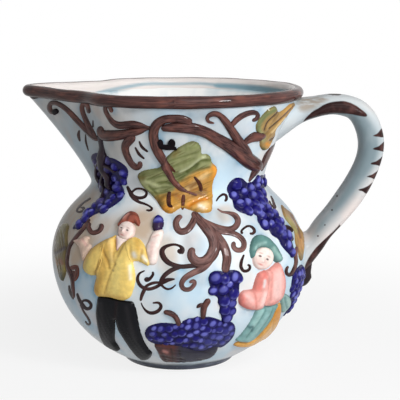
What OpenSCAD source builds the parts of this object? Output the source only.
// Glazed earthenware pouring jug: round belly, flared neck with a pinched spout, strap handle, and a
// grape-harvest relief of separately moulded sprigs laid on the wall.
// Frame: +Z up, origin at the middle of the foot's underside, spout towards -X, handle towards +X.
// Places on the wall are [angle, height share]: the angle runs from the front (-Y) towards the handle,
// and the height share is 0 at the table, waist_share at the waist and 1 at the neck's upper edge.

/* [Body] */
// Height of the neck's upper edge over the table
neck_top_h = 169; // [155:1:185]
// Largest radius of the belly
belly_r = 81.5; // [74:0.5:90]
// Height of the belly's widest ring
belly_mid_h = 69; // [62:1:75]
// Rise from the widest ring to the top of the belly's curve
belly_rise = 57.5; // [50:0.5:64]
// How far the belly's curve would run on below the table if the foot did not cut it off
belly_sink = 5; // [2:0.5:9]
// Radius where the neck's curve meets the belly's curve
waist_r = 54; // [46:0.5:60]
// Width over which belly and neck run softly into each other
waist_soft = 6; // [3:0.5:9]
// Thickness of the wall
wall = 4.5; // [3:0.25:6]
// Thickness of the belly's floor
floor_t = 4.5; // [3:0.25:7]

/* [Mouth] */
// Radius of the mouth away from the spout
mouth_r = 75.5; // [68:0.5:84]
// How far the spout's tip stands out past the mouth's circle
spout_out = 19.5; // [10:0.5:26]
// How far the mouth is pinched in beside the spout
spout_pinch = 7; // [3:0.5:10]
// How far the spout's tip rises over the rest of the mouth
spout_rise = 1; // [0:0.25:5]
// Diameter of the rolled rim
bead_d = 7.4; // [5.5:0.1:9]

/* [Foot] */
// Height of the foot ring
foot_h = 3.5; // [2.5:0.25:6]
// How far the foot ring stands out past the belly's lower edge
foot_lip = 1; // [0.25:0.25:3]
// Width of the foot ring
foot_band = 11; // [6:0.5:16]
// Bevel under the foot ring's outer edge
foot_bevel = 1; // [0.25:0.25:2]

/* [Handle] */
// Reach of the handle past the belly's largest radius
handle_out = 50; // [42:0.5:60]
// Width of the handle's strap, across the view
handle_w = 20; // [14:0.5:26]
// How far the spur under the handle stands out from the belly
spur_relief = 6; // [3:0.25:8]

/* [Relief] */
// Width of the thickest vine
vine_w = 10; // [7:0.25:11]
// Relief of the thickest vine
vine_relief = 3.6; // [2:0.1:5]
// Relief of the leaves
leaf_relief = 2.4; // [1.5:0.1:4]
// Relief of the figures and the basket
figure_relief = 3.2; // [2:0.1:5]
// Radius of a grape in the hanging bunches
berry_r = 2.9; // [2.2:0.1:3.2]
// Radius of a grape in the basket's heap
heap_berry_r = 2.5; // [1.8:0.1:2.7]
// Gap between neighbouring grapes
berry_gap = 0.4; // [0.2:0.05:0.8]
// Bedding gap between a sprig's back and the wall
bed_gap = 0.3; // [0.1:0.05:0.5]

/* [Hidden] */
$fn = 64;

// Spout shape: half angle of the beak, how much wider the beak is at the waist, and the pinch beside it
spout_half_angle = 10;
spout_widen_share = 1.6;
pinch_angle = 38;
pinch_spread_angle = 15;
rise_spread_angle = 25;
spout_side_angle = 38;
neck_flare = 1.5;
spout_flare_drop = 0.25;

belly_drop = belly_mid_h + belly_sink;
waist_h = belly_mid_h + belly_rise * sqrt(1 - pow(waist_r / belly_r, 2));
floor_h = foot_h + floor_t;
slope_step = wall / 10;
waist_share = 0.663;

// Angular stations round the mouth, closer together at the spout (-90 degrees)
fine_step = 3;
coarse_step = 8;
fine_half_angle = 42;
mouth_angles = concat(
    [for (a = [-90 - fine_half_angle : fine_step : -90 + fine_half_angle]) a],
    [for (a = [-90 + fine_half_angle + coarse_step : coarse_step : 270 - fine_half_angle - 1]) a]);
neck_levels = 13;
neck_crowding = 1.6;
belly_levels = 22;
path_steps = 3;

// Wall curves

// Height of a height share: even from the table to the waist, and even from there to the neck's upper edge
function level(share) = share < waist_share
    ? share / waist_share * waist_h
    : waist_h + (share - waist_share) / (1 - waist_share) * (neck_top_h - waist_h);

function off_spout(a) = abs((a + 90 + 900) % 360 - 180);

function bell(x) = exp(-x * x);

function mouth_at(a, t) =
    let (d = off_spout(a), half = spout_half_angle * (1 + spout_widen_share * (1 - t)))
    mouth_r - spout_pinch * bell((d - pinch_angle) / pinch_spread_angle)
        + spout_out / (1 + pow(d / half, 2));

function neck_top_at(a) = neck_top_h + spout_rise * bell(off_spout(a) / rise_spread_angle);

// The larger of two radii, with a soft join waist_soft wide
function soft_max(p, q) =
    let (h = max(waist_soft - abs(p - q), 0) / waist_soft)
    max(p, q) + h * h * waist_soft / 4;

function half_ellipse(z, r, rise, drop) =
    let (x = (z - belly_mid_h) / (z > belly_mid_h ? rise : drop))
    r * sqrt(max(1 - x * x, 0));

function neck_r(a, z) =
    let (t = min(max((z - waist_h) / (neck_top_at(a) - waist_h), 0), 1),
         flare = neck_flare - spout_flare_drop * bell(off_spout(a) / spout_side_angle))
    waist_r + (mouth_at(a, t) - waist_r) * pow(t, flare);

function wall_r(a, z) =
    let (belly = half_ellipse(z, belly_r, belly_rise, belly_drop))
    z < belly_mid_h ? belly : soft_max(belly, neck_r(a, z));

function inner_r(a, z) =
    let (belly = half_ellipse(z, belly_r - wall, belly_rise - wall, belly_drop - wall))
    z < belly_mid_h ? belly : soft_max(belly, neck_r(a, z) - wall);

function wall_slope(a, z) = (wall_r(a, z + slope_step) - wall_r(a, z - slope_step)) / (2 * slope_step);

// Point at a distance off the wall, square to it
function seat(a, z, off) =
    let (s = wall_slope(a, z), n = sqrt(1 + s * s), r = wall_r(a, z) + off / n)
    [r * sin(a), -r * cos(a), z - off * s / n];

// [angle, height] after moving u round the wall and v up along it
function moved(a, z, u, v) =
    let (s = wall_slope(a, z))
    [a + u / wall_r(a, z) * 180 / PI, z + v / sqrt(1 + s * s)];

// Sweeps

function curve(p0, p1, p2, p3, t) =
    (2 * p1 + (p2 - p0) * t + (2 * p0 - 5 * p1 + 4 * p2 - p3) * t * t
        + (3 * p1 - p0 - 3 * p2 + p3) * t * t * t) / 2;

function smooth_path(p, steps) =
    let (n = len(p) - 1)
    [for (i = [0 : n - 1], k = [0 : steps - 1])
        curve(p[max(i - 1, 0)], p[i], p[i + 1], p[min(i + 2, n)], k / steps), p[n]];

// Skin between rings of m points each, without its ends
function tube_faces(rings, m, closed) =
    [for (i = [0 : rings - (closed ? 1 : 2)], j = [0 : m - 1])
        let (k = (i + 1) % rings, l = (j + 1) % m)
        each [[i * m + j, k * m + l, k * m + j], [i * m + j, i * m + l, k * m + l]]];

// Fans from the middle points, which follow the rings' points, to the first and last ring
function cap_faces(rings, m) =
    let (first_middle = rings * m, last_middle = rings * m + 1)
    [for (j = [0 : m - 1])
        let (l = (j + 1) % m, last = (rings - 1) * m)
        each [[first_middle, l, j], [last_middle, last + j, last + l]]];

module closed_skin(rings, first_middle, last_middle) {
    m = len(rings[0]);
    polyhedron(
        points = concat([for (ring = rings) each ring], [first_middle, last_middle]),
        faces = concat(tube_faces(len(rings), m, false), cap_faces(len(rings), m)));
}

function mean(points) = [for (p = points) 1] * points / len(points);

// Vines: rows of [angle, height share, width share of vine_w, lift share of leaf_relief]

// Half-round section: side share and relief share, front first and then the back
vine_section_shares = [[-1, 0], [-0.82, 0.6], [-0.35, 0.95], [0.35, 0.95], [0.82, 0.6], [1, 0], [0.4, 0],
    [-0.4, 0]];
vine_relief_cap_share = 0.55;

function vine_row(r) =
    [r[0], level(r[1]), r[2] * vine_w, (len(r) > 3 ? r[3] : 0) * (leaf_relief + bed_gap)];

function vine_ring(p, before, after) =
    let (a = p[0], z = p[1], s = wall_slope(a, z),
         u = (after[0] - before[0]) * PI / 180 * wall_r(a, z),
         v = (after[1] - before[1]) * sqrt(1 + s * s),
         long = norm([u, v]),
         relief = min(vine_relief, p[2] * vine_relief_cap_share))
    [for (q = vine_section_shares)
        let (place = moved(a, z, -v / long * q[0] * p[2] / 2, u / long * q[0] * p[2] / 2))
        seat(place[0], place[1], bed_gap + p[3] + q[1] * relief)];

module vine(rows) {
    path = smooth_path([for (r = rows) vine_row(r)], path_steps);
    last = len(path) - 1;
    rings = [for (i = [0 : last]) vine_ring(path[i], path[max(i - 1, 0)], path[min(i + 1, last)])];
    closed_skin(rings, mean(rings[0]), mean(rings[last]));
}

// Pads: outlines of [angle, height share], pillow shaped

// Rings from the back's middle over the edge to the front's middle: size share and relief share
pad_ring_shares = [[0.3, 0], [0.65, 0], [1, 0], [0.97, 0.5], [0.85, 0.85], [0.5, 1]];

module pad(outline, relief) {
    rim = [for (p = outline) [p[0], level(p[1])]];
    middle = mean(rim);
    rings = [for (q = pad_ring_shares)
        [for (p = rim)
            let (place = middle + (p - middle) * q[0])
            seat(place[0], place[1], bed_gap + relief * q[1])]];
    closed_skin(rings, seat(middle[0], middle[1], bed_gap), seat(middle[0], middle[1], bed_gap + relief));
}

// Grapes: rows of [first slot, number of grapes] from the top row down, on slots half a pitch wide that are
// counted from the bunch's middle angle; odd and even slots take turns, so that the rows nest

berry_sink_share = 0.2;
row_step_share = 1;

// A grape's flat back spans hollows of the wall, such as the waist, from the grape's lower to its upper edge
module berry(a, z, r) {
    high = wall_r(a, z + r);
    low = wall_r(a, z - r);
    slope = (high - low) / (2 * r);
    reach = max(wall_r(a, z), (high + low) / 2) + bed_gap * sqrt(1 + slope * slope);
    translate([reach * sin(a), -reach * cos(a), z])
        rotate([0, 0, a])
            rotate([90 + atan(slope), 0, 0])
                intersection() {
                    translate([0, 0, r * berry_sink_share]) sphere(r);
                    translate([-r, -r, 0]) cube([2 * r, 2 * r, 2 * r]);
                }
}

module bunch(middle_angle, top_share, rows, r) {
    pitch = 2 * r + berry_gap;
    for (i = [0 : len(rows) - 1]) {
        z = level(top_share) - i * pitch * row_step_share;
        slot_angle = pitch / 2 / wall_r(middle_angle, z) * 180 / PI;
        for (k = [0 : rows[i][1] - 1])
            berry(middle_angle + (rows[i][0] + 2 * k) * slot_angle, z, r);
    }
}

// The far side repeats shapes mirrored through the plane of spout and handle
module far_side() {
    mirror([0, 1, 0]) children();
}

// Tables of places on the wall

trunk_shares = [[62, 0.76, 1], [55, 0.77, 1.05], [48, 0.785, 1.05], [39, 0.815, 1], [30, 0.85, 0.95],
    [22, 0.88, 0.85], [15, 0.9, 0.75], [8, 0.917, 0.6], [1, 0.922, 0.5], [-6, 0.925, 0.4]];
loop_shares = [[8, 0.957, 0.55], [4, 0.966, 0.6], [-2, 0.97, 0.6], [-7, 0.962, 0.58], [-11, 0.94, 0.55],
    [-12.5, 0.91, 0.55], [-12.5, 0.875, 0.5], [-11, 0.83, 0.5, 0.6], [-8, 0.795, 0.45, 1], [-4, 0.76, 0.4, 1],
    [0, 0.73, 0.35, 1.1], [4, 0.705, 0.3, 1.2], [9, 0.688, 0.25, 1.4], [12.5, 0.675, 0.15, 1.5]];
left_low_shares = [[-17, 0.905, 0.5], [-22, 0.9, 0.5], [-29, 0.893, 0.5], [-37, 0.885, 0.48],
    [-44, 0.872, 0.42], [-48, 0.842, 0.36], [-47.5, 0.815, 0.3]];
left_high_shares = [[-17, 0.945, 0.4], [-20, 0.945, 0.36], [-24, 0.942, 0.34], [-29, 0.94, 0.32],
    [-33, 0.953, 0.3], [-35, 0.97, 0.26], [-34, 0.981, 0.24], [-32, 0.98, 0.22], [-31, 0.965, 0.2]];
curl_spout_shares = [[-52, 0.885, 0.32], [-55, 0.89, 0.32], [-58, 0.905, 0.32], [-62, 0.93, 0.3],
    [-65, 0.955, 0.3], [-68, 0.972, 0.28], [-72, 0.98, 0.26], [-76, 0.975, 0.26], [-78, 0.96, 0.24],
    [-76.5, 0.95, 0.22]];
curl_rim_shares = [[-50, 0.905, 0.26], [-54, 0.922, 0.26], [-55.5, 0.945, 0.26], [-56, 0.965, 0.26],
    [-55, 0.98, 0.24], [-52, 0.98, 0.24], [-50.5, 0.962, 0.2]];
curl_hang_shares = [[-23, 0.87, 0.34], [-27, 0.865, 0.34], [-29, 0.845, 0.32], [-29, 0.82, 0.3],
    [-27, 0.795, 0.28], [-24, 0.778, 0.26], [-21.5, 0.785, 0.24], [-22, 0.798, 0.2]];
twig_high_shares = [[37.5, 0.874, 0.46], [33, 0.89, 0.44], [28, 0.91, 0.4], [24, 0.94, 0.34],
    [20.5, 0.965, 0.3], [17, 0.98, 0.26], [14.5, 0.975, 0.24], [14, 0.96, 0.2], [16, 0.948, 0.16]];
twig_low_shares = [[29.5, 0.938, 0.28], [29.5, 0.955, 0.28], [31.5, 0.967, 0.28], [34.5, 0.977, 0.26],
    [38, 0.977, 0.24], [40.5, 0.963, 0.22], [39, 0.947, 0.18]];
leaf_stem_shares = [[42, 0.858, 0.34], [43, 0.875, 0.32], [45.5, 0.882, 0.26]];
bunch_stem_shares = [[57, 0.73, 0.3], [54, 0.722, 0.28], [51.5, 0.715, 0.24]];
shoot_handle_shares = [[73, 0.84, 0.34], [70, 0.815, 0.34], [68, 0.79, 0.32], [67, 0.765, 0.3]];

scroll_main_shares = [[9, 0.615, 0.3], [12, 0.6, 0.4], [15, 0.583, 0.48], [17, 0.56, 0.52], [18, 0.535, 0.52],
    [17.5, 0.51, 0.5], [15.5, 0.485, 0.48], [12, 0.468, 0.42], [9, 0.467, 0.38], [7, 0.48, 0.34],
    [6.7, 0.5, 0.3], [8.5, 0.513, 0.24]];
scroll_left_shares = [[6.3, 0.6, 0.3], [6.3, 0.585, 0.3], [4.5, 0.573, 0.3], [2, 0.57, 0.3],
    [0.3, 0.583, 0.28], [0.5, 0.6, 0.26], [2.3, 0.61, 0.22]];
scroll_right_shares = [[16.8, 0.605, 0.26], [19, 0.59, 0.28], [22, 0.58, 0.28], [26, 0.571, 0.28],
    [29.5, 0.575, 0.26], [32.5, 0.59, 0.26], [32, 0.607, 0.24], [29.5, 0.616, 0.2]];
scroll_low_shares = [[21.3, 0.556, 0.24], [25, 0.55, 0.24], [28.5, 0.541, 0.24], [31, 0.528, 0.24],
    [31.5, 0.512, 0.24], [29.3, 0.498, 0.22], [26.7, 0.502, 0.2], [25.8, 0.516, 0.18]];
scroll_stem_shares = [[22.2, 0.53, 0.32], [22.7, 0.5, 0.34], [22.5, 0.475, 0.34], [21.8, 0.45, 0.34]];
scroll_tail_shares = [[17, 0.46, 0.3], [13, 0.44, 0.3], [8.7, 0.432, 0.3], [5, 0.42, 0.3], [2.7, 0.403, 0.28],
    [2.3, 0.385, 0.26], [4.5, 0.374, 0.24], [6.8, 0.385, 0.22], [6.5, 0.398, 0.18]];
shoot_left_shares = [[-53.5, 0.533, 0.26], [-56, 0.497, 0.26], [-56.5, 0.468, 0.26],
    [-56.3, 0.436, 0.26], [-55, 0.405, 0.26], [-53, 0.375, 0.28], [-52.3, 0.34, 0.28], [-54, 0.3, 0.22]];
hook_left_shares = [[-47.5, 0.575, 0.28], [-47, 0.556, 0.28], [-43.5, 0.545, 0.28], [-40.3, 0.553, 0.28],
    [-39.5, 0.57, 0.24]];
hook_right_shares = [[65, 0.435, 0.24], [64, 0.412, 0.24], [61.5, 0.392, 0.24], [58.5, 0.377, 0.24],
    [55.8, 0.388, 0.22], [56.3, 0.408, 0.18]];
heap_stem_left_shares = [[-5.4, 0.287, 0.26], [-2.8, 0.288, 0.28], [-0.7, 0.278, 0.28], [0.6, 0.264, 0.28]];
heap_stem_mid_shares = [[14, 0.34, 0.24], [12, 0.322, 0.26], [11.6, 0.3, 0.3], [11.6, 0.28, 0.32]];

leaf_centre_shares = [[-23, 0.75], [-18.5, 0.77], [-12.4, 0.78], [-8, 0.787], [-4.6, 0.826], [0, 0.848],
    [4, 0.867], [8, 0.88], [11, 0.873], [13, 0.855], [14, 0.832], [16.6, 0.83], [19, 0.812], [21, 0.793],
    [23.6, 0.777], [23.5, 0.755], [22, 0.73], [22, 0.695], [22.5, 0.66], [19, 0.63], [12.7, 0.625],
    [8, 0.63], [3.5, 0.64], [0, 0.632], [-3.6, 0.625], [-7, 0.63], [-11.5, 0.653], [-16, 0.683],
    [-21, 0.71], [-23, 0.733]];
leaf_handle_shares = [[56.5, 0.97], [62, 0.975], [71, 0.98], [71, 0.96], [70, 0.93], [67, 0.896], [65, 0.87],
    [63, 0.85], [60, 0.83], [54, 0.838], [51.5, 0.862], [48.5, 0.888], [45, 0.91], [43, 0.935],
    [43.8, 0.96], [47, 0.978], [52, 0.982]];
leaf_left_shares = [[-69, 0.543], [-64, 0.54], [-61.5, 0.505], [-60, 0.467], [-59.5, 0.424], [-60, 0.386],
    [-62, 0.348], [-65, 0.362], [-67, 0.397], [-69.5, 0.425], [-71, 0.47], [-73, 0.505], [-73, 0.53]];
leaf_right_shares = [[78, 0.6], [76.5, 0.577], [75.5, 0.547], [76, 0.516], [75, 0.483], [72.3, 0.462],
    [69, 0.455], [65.5, 0.465], [64.5, 0.487], [65.5, 0.517], [67, 0.55], [70, 0.58]];

basket_shares = [[-10.5, 0.124], [-4, 0.121], [3, 0.116], [10, 0.11], [17, 0.109], [22.5, 0.117], [23, 0.095],
    [20.5, 0.073], [13, 0.06], [4, 0.055], [-4, 0.057], [-8.5, 0.064], [-10, 0.092]];

man_hair_shares = [[-30, 0.573], [-30, 0.595], [-28.5, 0.612], [-26, 0.62], [-22.3, 0.617], [-19.5, 0.604],
    [-18.2, 0.586], [-21, 0.589], [-24.5, 0.584], [-27.5, 0.578]];
man_head_shares = [[-29.8, 0.567], [-27.4, 0.573], [-24.3, 0.578], [-20.8, 0.583], [-19.2, 0.573],
    [-20, 0.557], [-22, 0.544], [-25, 0.541], [-27.7, 0.549]];
man_shirt_shares = [[-30, 0.534], [-26.5, 0.53], [-23, 0.534], [-21.5, 0.525], [-20.7, 0.495], [-20.2, 0.467],
    [-17.5, 0.433], [-17.5, 0.39], [-19, 0.353], [-22, 0.335], [-26, 0.331], [-30.5, 0.335], [-35.5, 0.335],
    [-37.3, 0.356], [-35.8, 0.4], [-33.5, 0.455], [-32, 0.5]];
man_sleeve_shares = [[[-36.5, 0.5, 0.7], [-38, 0.468, 0.85], [-39.5, 0.432, 0.8]],
    [[-18, 0.537, 0.5], [-15.8, 0.505, 0.7], [-14.2, 0.474, 0.75]]];
man_arm_shares = [[[-43.5, 0.478, 0.45], [-46, 0.496, 0.5], [-50, 0.512, 0.55]],
    [[-8.7, 0.465, 0.4], [-8.6, 0.503, 0.44], [-9.2, 0.532, 0.48], [-9.3, 0.557, 0.46]]];
man_leg_shares = [[[-32, 0.318, 1.05], [-34, 0.27, 1.05], [-36.5, 0.213, 0.95], [-39.5, 0.16, 0.85],
    [-42, 0.12, 0.75]],
    [[-23, 0.318, 1.05], [-22.4, 0.266, 1.05], [-22.1, 0.216, 0.95], [-21.6, 0.164, 0.85],
    [-20.6, 0.11, 0.8]]];
man_grape_shares = [[-9.9, 0.616], [-7.9, 0.612], [-6.6, 0.598], [-6.5, 0.58], [-7.8, 0.57], [-9.4, 0.569],
    [-11.1, 0.579], [-11.9, 0.597], [-11.6, 0.61]];

woman_scarf_shares = [[34.2, 0.487, 0.25], [36, 0.512, 0.4], [40, 0.523, 0.55], [44, 0.508, 0.55],
    [47.3, 0.475, 0.45], [49.4, 0.445, 0.3]];
woman_head_shares = [[35.2, 0.48], [38, 0.493], [40.4, 0.494], [42.8, 0.482], [45, 0.46], [46.3, 0.442],
    [43.4, 0.43], [40.3, 0.427], [37.1, 0.433], [35.2, 0.457]];
woman_blouse_shares = [[42.1, 0.413], [46.6, 0.425], [50, 0.42], [52.2, 0.387], [54, 0.347], [53.9, 0.308],
    [51.2, 0.287], [45, 0.282], [42.5, 0.287], [42.3, 0.32], [42.5, 0.36], [42, 0.395]];
woman_sleeve_shares = [[37.5, 0.417], [40.2, 0.404], [40.8, 0.36], [40.5, 0.315], [38, 0.288], [33, 0.285],
    [29.5, 0.297], [28.5, 0.32], [30.5, 0.345], [34.2, 0.35], [35.2, 0.385]];
woman_skirt_shares = [[39.2, 0.27], [44, 0.272], [50, 0.274], [49.8, 0.248], [49.5, 0.211], [47, 0.178],
    [43.3, 0.151], [38.4, 0.142], [33.2, 0.154], [33.8, 0.19], [35.3, 0.226], [36.8, 0.256]];
woman_hem_shares = [[55, 0.265, 0.5], [57.5, 0.217, 0.85], [59, 0.17, 0.8], [57.5, 0.136, 0.6],
    [52, 0.12, 0.42], [43.5, 0.115, 0.3], [36, 0.125, 0.22]];
woman_sash_shares = [[56.3, 0.33], [59, 0.31], [63.7, 0.272], [64.6, 0.252], [63, 0.245], [59.5, 0.275],
    [56, 0.302]];

spur_shares = [[90, 0.262], [87.5, 0.272], [86.5, 0.29], [87, 0.312], [90, 0.322], [93, 0.312], [93.5, 0.29],
    [92.5, 0.272]];

neck_left_angle = -46;
neck_left_top_share = 0.792;
neck_left_rows = [[-3, 4], [-2, 4], [-3, 4], [-2, 3], [-3, 3], [-2, 2], [-3, 1]];
neck_right_angle = 53;
neck_right_top_share = 0.682;
neck_right_rows = [[-4, 5], [-5, 6], [-4, 4], [-1, 3], [-2, 3], [-1, 3], [2, 2], [3, 1]];
picked_angle = 21;
picked_top_share = 0.416;
picked_rows = [[-2, 3], [-3, 3], [-2, 3], [-1, 2], [0, 1]];
side_angle = 72;
side_top_share = 0.355;
side_rows = [[-1, 2], [-2, 3], [-1, 2], [0, 2], [1, 1]];
heap_angle = 7;
heap_top_share = 0.243;
heap_rows = [[-7, 7], [-10, 10], [-9, 10], [-8, 9]];

// Shell

foot_r = wall_r(0, foot_h) + foot_lip;

module foot_ring() {
    color([0.22, 0.25, 0.29]) rotate_extrude()
        polygon([[foot_r - foot_band, 0], [foot_r - foot_bevel, 0], [foot_r, foot_bevel], [foot_r, foot_h],
            [foot_r - foot_band, foot_h]]);
}

module belly() {
    outer = [for (i = [0 : belly_levels])
        let (z = foot_h + (waist_h - foot_h) * i / belly_levels) [wall_r(0, z), z]];
    inner = [for (i = [belly_levels : -1 : 0])
        let (z = floor_h + (waist_h - floor_h) * i / belly_levels) [inner_r(0, z), z]];
    color([0.80, 0.86, 0.90]) rotate_extrude() polygon(concat([[0, foot_h]], outer, inner, [[0, floor_h]]));
}

function neck_point(a, i, inside) =
    let (z = waist_h + (neck_top_at(a) - waist_h) * pow(i / neck_levels, neck_crowding),
         r = inside ? inner_r(a, z) : wall_r(a, z))
    [r * sin(a), -r * cos(a), z];

module neck() {
    rings = [for (a = mouth_angles)
        concat([for (i = [0 : neck_levels]) neck_point(a, i, false)],
            [for (i = [neck_levels : -1 : 0]) neck_point(a, i, true)])];
    color([0.80, 0.86, 0.90])
        polyhedron([for (ring = rings) each ring], tube_faces(len(rings), len(rings[0]), true));
}

bead_sides = 14;
bead_seat_share = 0.39;
bead_flat_angle = asin(2 * bead_seat_share);

function mouth_point(a) = let (r = mouth_at(a, 1)) [r * sin(a), -r * cos(a)];

module rim_bead() {
    rings = [for (a = mouth_angles)
        let (along = mouth_point(a + 1) - mouth_point(a - 1),
             out = [along[1], -along[0]] / norm(along),
             middle = mouth_point(a))
        [for (k = [0 : bead_sides - 1])
            let (turn = -bead_flat_angle + (180 + 2 * bead_flat_angle) * k / (bead_sides - 1),
                 side = bead_d / 2 * cos(turn))
            [middle[0] + out[0] * side, middle[1] + out[1] * side,
                neck_top_at(a) + bed_gap + bead_d * bead_seat_share + bead_d / 2 * sin(turn)]]];
    color([0.36, 0.22, 0.20])
        polyhedron([for (ring = rings) each ring], tube_faces(len(rings), bead_sides, true));
}

// Handle: stations of [inner reach, inner height, outer reach, outer height], where a reach is a share of
// handle_out past belly_r and a height is a height share
handle_station_shares = [[-0.1, 0.895, 0.1, 1.003], [0.09, 0.92, 0.3, 1.011], [0.31, 0.934, 0.51, 1.007],
    [0.48, 0.927, 0.7, 0.988], [0.56, 0.912, 0.83, 0.957], [0.62, 0.882, 0.925, 0.912],
    [0.66, 0.843, 0.985, 0.858], [0.665, 0.8, 0.995, 0.805], [0.62, 0.75, 0.955, 0.745],
    [0.52, 0.692, 0.865, 0.676], [0.41, 0.641, 0.735, 0.607], [0.28, 0.585, 0.55, 0.537],
    [0.13, 0.536, 0.34, 0.467], [0.03, 0.507, 0.2, 0.405]];
// Heights of the roots on the wall: [inner, outer]
handle_neck_root_shares = [0.838, 0.985];
handle_belly_root_shares = [0.487, 0.33];
handle_sides = 14;
handle_square = 0.85;
root_widen_share = 1.15;
root_ring_shares = [0.34, 0.67, 1];
strap_steps = 2;

function bulge(x) = sign(x) * pow(abs(x), handle_square);

function strap_ring(r) =
    let (inner = [belly_r + r[0] * handle_out, level(r[1])],
         outer = [belly_r + r[2] * handle_out, level(r[3])],
         middle = (inner + outer) / 2,
         half = (outer - inner) / 2)
    [for (k = [0 : handle_sides - 1])
        let (turn = 360 * k / handle_sides)
        [middle[0] + half[0] * bulge(cos(turn)), handle_w / 2 * bulge(sin(turn)),
            middle[1] + half[1] * bulge(cos(turn))]];

// Point on the handle's side of the wall at a height and a sideways place
function root_point(z, y) = [sqrt(pow(wall_r(90, z) + bed_gap, 2) - y * y), y, z];

function root_middle(shares) = (level(shares[0]) + level(shares[1])) / 2;

function root_ring(shares, size_share) =
    let (tall = size_share * (level(shares[1]) - level(shares[0])) / 2,
         wide = size_share * root_widen_share * handle_w / 2)
    [for (k = [0 : handle_sides - 1])
        let (turn = 360 * k / handle_sides)
        root_point(root_middle(shares) + tall * cos(turn), wide * sin(turn))];

module handle() {
    last = len(root_ring_shares) - 1;
    rings = concat([for (size_share = root_ring_shares) root_ring(handle_neck_root_shares, size_share)],
        [for (r = smooth_path(handle_station_shares, strap_steps)) strap_ring(r)],
        [for (i = [last : -1 : 0]) root_ring(handle_belly_root_shares, root_ring_shares[i])]);
    color([0.85, 0.86, 0.87])
        closed_skin(rings, root_point(root_middle(handle_neck_root_shares), 0),
            root_point(root_middle(handle_belly_root_shares), 0));
}

module handle_spur() { color([0.22, 0.16, 0.16]) pad(spur_shares, spur_relief); }

// Vine on the neck

vine_colour = [0.42, 0.29, 0.27];
grape_colour = [0.20, 0.18, 0.55];

module vine_trunk() { color(vine_colour) vine(trunk_shares); }
module vine_loop() { color(vine_colour) vine(loop_shares); }
module vine_left_low() { color(vine_colour) vine(left_low_shares); }
module vine_left_high() { color(vine_colour) vine(left_high_shares); }
module vine_curl_spout() { color(vine_colour) vine(curl_spout_shares); }
module vine_curl_rim() { color(vine_colour) vine(curl_rim_shares); }
module vine_curl_hang() { color(vine_colour) vine(curl_hang_shares); }
module vine_twig_high() { color(vine_colour) vine(twig_high_shares); }
module vine_twig_low() { color(vine_colour) vine(twig_low_shares); }
module leaf_stem() { color(vine_colour) vine(leaf_stem_shares); }
module bunch_stem() { color(vine_colour) vine(bunch_stem_shares); }
module shoot_handle() { color(vine_colour) vine(shoot_handle_shares); }

// Scroll under the centre leaf, and shoots on the belly

module scroll_main() { color(vine_colour) vine(scroll_main_shares); }
module scroll_left() { color(vine_colour) vine(scroll_left_shares); }
module scroll_right() { color(vine_colour) vine(scroll_right_shares); }
module scroll_low() { color(vine_colour) vine(scroll_low_shares); }
module scroll_stem() { color(vine_colour) vine(scroll_stem_shares); }
module scroll_tail() { color(vine_colour) vine(scroll_tail_shares); }
module shoot_left() { color(vine_colour) vine(shoot_left_shares); }
module hook_left() { color(vine_colour) vine(hook_left_shares); }
module hook_right() { color(vine_colour) vine(hook_right_shares); }

// Leaves and grapes

module leaf_centre() { color([0.62, 0.56, 0.32]) pad(leaf_centre_shares, leaf_relief); }
module leaf_handle() { color([0.74, 0.58, 0.30]) pad(leaf_handle_shares, leaf_relief); }
module leaf_left() { color([0.45, 0.42, 0.26]) pad(leaf_left_shares, leaf_relief); }
module leaf_right() { color([0.65, 0.47, 0.24]) pad(leaf_right_shares, leaf_relief); }

module grapes_neck_left() {
    color(grape_colour) bunch(neck_left_angle, neck_left_top_share, neck_left_rows, berry_r);
}

module grapes_neck_right() {
    color(grape_colour) bunch(neck_right_angle, neck_right_top_share, neck_right_rows, berry_r);
}

module grapes_picked() {
    color(grape_colour) bunch(picked_angle, picked_top_share, picked_rows, berry_r);
}

module grapes_side() {
    color(grape_colour) bunch(side_angle, side_top_share, side_rows, berry_r);
}

module grapes_heap() {
    color(grape_colour) bunch(heap_angle, heap_top_share, heap_rows, heap_berry_r);
}

// Basket

module basket() { color([0.36, 0.24, 0.23]) pad(basket_shares, figure_relief); }

module heap_stems() {
    color(vine_colour) {
        vine(heap_stem_left_shares);
        vine(heap_stem_mid_shares);
    }
}

// Man

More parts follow.
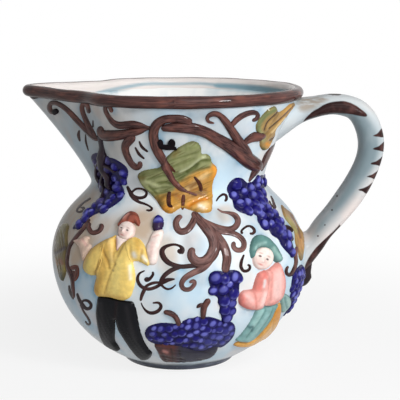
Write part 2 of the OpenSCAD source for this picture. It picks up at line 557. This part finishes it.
module man_hair() { color([0.59, 0.31, 0.25]) pad(man_hair_shares, figure_relief); }
module man_head() { color([0.94, 0.88, 0.86]) pad(man_head_shares, figure_relief); }
module man_shirt() { color([0.84, 0.70, 0.33]) pad(man_shirt_shares, figure_relief); }
module man_sleeves() { color([0.84, 0.70, 0.33]) for (rows = man_sleeve_shares) vine(rows); }
module man_arms() { color([0.94, 0.88, 0.86]) for (rows = man_arm_shares) vine(rows); }
module man_trousers() { color([0.13, 0.13, 0.14]) for (rows = man_leg_shares) vine(rows); }
module man_grape() { color([0.35, 0.30, 0.62]) pad(man_grape_shares, figure_relief); }

// Woman

module woman_scarf() { color([0.47, 0.62, 0.60]) vine(woman_scarf_shares); }
module woman_head() { color([0.94, 0.88, 0.86]) pad(woman_head_shares, figure_relief); }
module woman_blouse() { color([0.88, 0.62, 0.57]) pad(woman_blouse_shares, figure_relief); }
module woman_sleeve() { color([0.88, 0.62, 0.57]) pad(woman_sleeve_shares, figure_relief); }
module woman_skirt() { color([0.47, 0.62, 0.60]) pad(woman_skirt_shares, figure_relief); }
module woman_hem() { color([0.82, 0.57, 0.30]) vine(woman_hem_shares); }
module woman_sash() { color([0.47, 0.62, 0.60]) pad(woman_sash_shares, figure_relief); }

// Far side

module far_trunk() { far_side() vine_trunk(); }
module far_loop() { far_side() vine_loop(); }
module far_leaf() { far_side() leaf_centre(); }
module far_grapes_left() { far_side() grapes_neck_left(); }
module far_grapes_right() { far_side() grapes_neck_right(); }

module far_scroll() {
    far_side() {
        scroll_main();
        scroll_stem();
    }
}

module far_grapes_hang() { far_side() grapes_picked(); }

foot_ring();
belly();
neck();
rim_bead();
handle();
handle_spur();
vine_trunk();
vine_loop();
vine_left_low();
vine_left_high();
vine_curl_spout();
vine_curl_rim();
vine_curl_hang();
vine_twig_high();
vine_twig_low();
leaf_stem();
bunch_stem();
shoot_handle();
scroll_main();
scroll_left();
scroll_right();
scroll_low();
scroll_stem();
scroll_tail();
shoot_left();
hook_left();
hook_right();
leaf_centre();
leaf_handle();
leaf_left();
leaf_right();
grapes_neck_left();
grapes_neck_right();
grapes_picked();
grapes_side();
grapes_heap();
basket();
heap_stems();
man_hair();
man_head();
man_shirt();
man_sleeves();
man_arms();
man_trousers();
man_grape();
woman_scarf();
woman_head();
woman_blouse();
woman_sleeve();
woman_skirt();
woman_hem();
woman_sash();
far_trunk();
far_loop();
far_leaf();
far_grapes_left();
far_grapes_right();
far_scroll();
far_grapes_hang();
